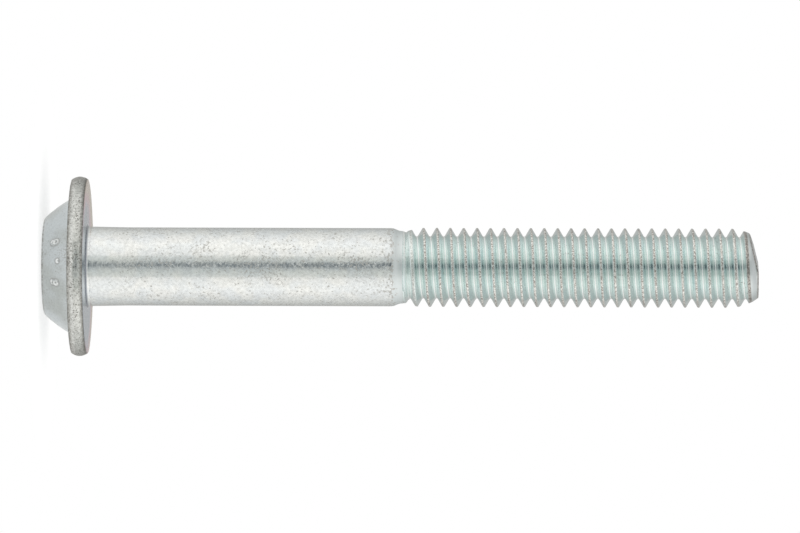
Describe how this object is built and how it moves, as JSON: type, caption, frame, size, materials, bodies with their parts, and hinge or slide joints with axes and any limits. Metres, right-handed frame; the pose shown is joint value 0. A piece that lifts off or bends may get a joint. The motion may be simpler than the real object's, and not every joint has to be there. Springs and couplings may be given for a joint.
{
  "type": "flanged button head screw",
  "caption": "Zinc-plated steel machine screw: low domed head on a wide flange, hexagon socket drive, plain shank, neck and rolled right-hand metric thread, for clamping panels and brackets.",
  "frame": {"origin": "centre of the flange's bearing face, on the screw's axis", "axes": "+Z along the axis from the head to the point of the screw, which stands on the flat top of its head; a thread crest crosses the start of the thread on +X"},
  "size_m": [0.0134, 0.0134, 0.0533],
  "materials": {
    "zinc_plate": "bright zinc plate with a clear bluish passivation"
  },
  "bodies": {
    "root": {"screw": "zinc_plate"}
  },
  "joints": []
}
